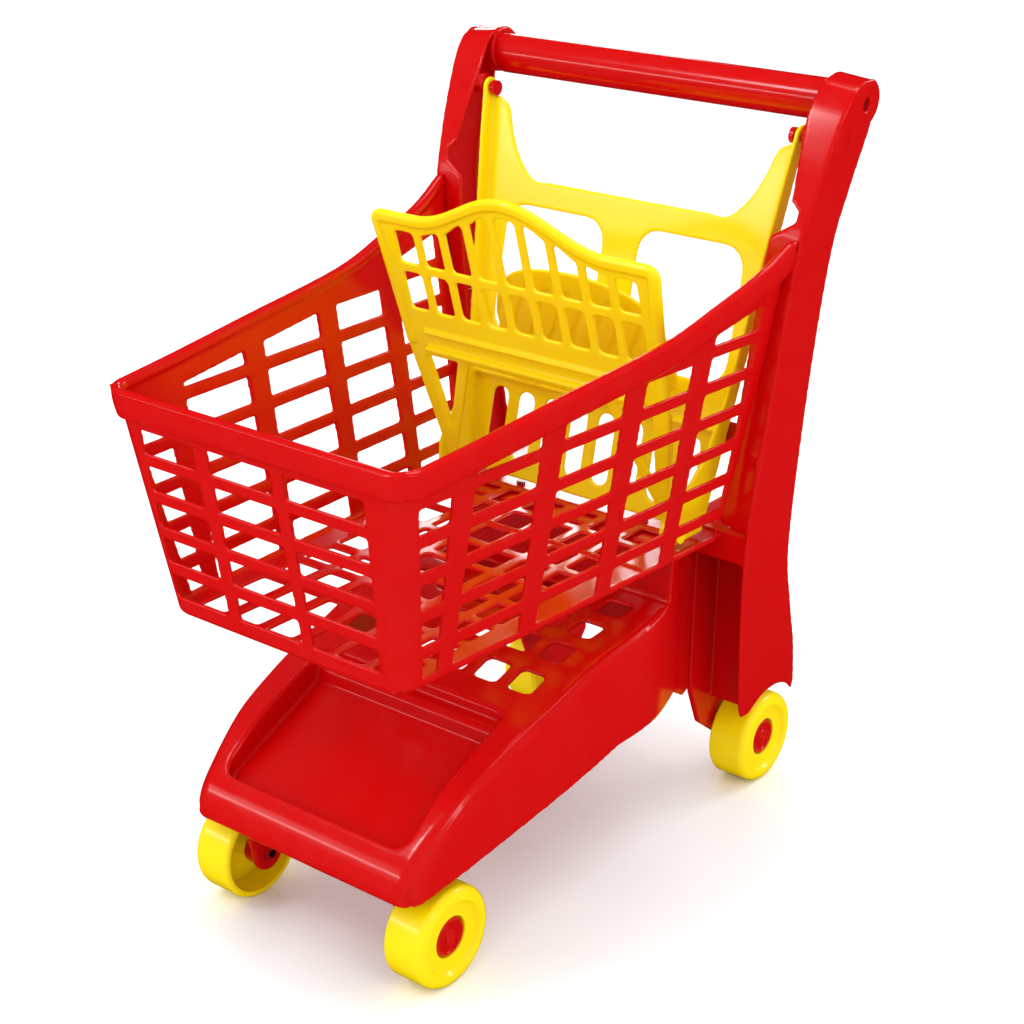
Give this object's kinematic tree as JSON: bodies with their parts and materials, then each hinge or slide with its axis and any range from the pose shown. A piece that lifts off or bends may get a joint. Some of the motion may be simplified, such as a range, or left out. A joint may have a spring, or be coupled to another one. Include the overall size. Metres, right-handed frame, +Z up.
{
  "type": "toy shopping cart",
  "caption": "Child's moulded plastic shopping cart with an open basket, a folding seat on a swinging rear gate, a push handle, a lower tray and free-turning wheels.",
  "frame": {"origin": "on the floor under the middle of the overall box", "axes": "+Z up, +X across the cart, -Y towards the nose, +Y towards the person pushing"},
  "size_m": [0.3294, 0.4645, 0.543],
  "materials": {
    "red_plastic": "smooth moulded plastic, semi-gloss",
    "yellow_plastic": "smooth moulded plastic, semi-gloss",
    "steel": "zinc-plated steel"
  },
  "bodies": {
    "cart": {"base_tray": "red_plastic", "upright_left": "red_plastic", "upright_right": "red_plastic", "handle_tube": "red_plastic", "basket_floor": "red_plastic", "basket_front_wall": "red_plastic", "basket_left_wall": "red_plastic", "basket_right_wall": "red_plastic", "basket_rim": "red_plastic", "gate_pin_left": "red_plastic", "gate_pin_right": "red_plastic", "axle_pin_front_left": "red_plastic", "axle_pin_front_right": "red_plastic", "axle_pin_rear_left": "red_plastic", "axle_pin_rear_right": "red_plastic", "handle_screw_left": "steel", "handle_screw_right": "steel", "axle_screws": "steel", "base_screws": "steel", "basket_screws": "steel"},
    "gate": {"gate": "yellow_plastic", "flap_pin_left": "yellow_plastic", "flap_pin_right": "yellow_plastic", "seat_plate_rod": "steel"},
    "flap": {"seat_flap": "yellow_plastic"},
    "seat_plate": {"seat_plate": "yellow_plastic"},
    "wheel_front_left": {"wheel_front_left": "yellow_plastic"},
    "wheel_front_right": {"wheel_front_right": "yellow_plastic"},
    "wheel_rear_left": {"wheel_rear_left": "yellow_plastic"},
    "wheel_rear_right": {"wheel_rear_right": "yellow_plastic"}
  },
  "joints": [
    {"name": "wheel_front_left_spin", "type": "hinge", "parent": "cart", "child": "wheel_front_left", "pos_m": [-0.085, -0.15975, 0.035], "axis": [1, 0, 0], "continuous": true},
    {"name": "wheel_front_right_spin", "type": "hinge", "parent": "cart", "child": "wheel_front_right", "pos_m": [0.085, -0.15975, 0.035], "axis": [1, 0, 0], "continuous": true},
    {"name": "wheel_rear_left_spin", "type": "hinge", "parent": "cart", "child": "wheel_rear_left", "pos_m": [-0.099, 0.19725, 0.035], "axis": [1, 0, 0], "continuous": true},
    {"name": "wheel_rear_right_spin", "type": "hinge", "parent": "cart", "child": "wheel_rear_right", "pos_m": [0.099, 0.19725, 0.035], "axis": [1, 0, 0], "continuous": true},
    {"name": "gate_swing", "type": "hinge", "parent": "cart", "child": "gate", "pos_m": [0, 0.15725, 0.503], "axis": [-1, 0, 0], "range_deg": [0, 60]},
    {"name": "flap_fold", "type": "hinge", "parent": "gate", "child": "flap", "pos_m": [0, 0.07525, 0.238], "axis": [-1, 0, 0], "range_deg": [0, 26]},
    {"name": "seat_fold", "type": "hinge", "parent": "gate", "child": "seat_plate", "pos_m": [0, 0.11125, 0.318], "axis": [-1, 0, 0], "range_deg": [0, 26]}
  ],
  "couplings": [
    {"joint": "seat_fold", "follows": "flap_fold", "ratio": 1}
  ]
}
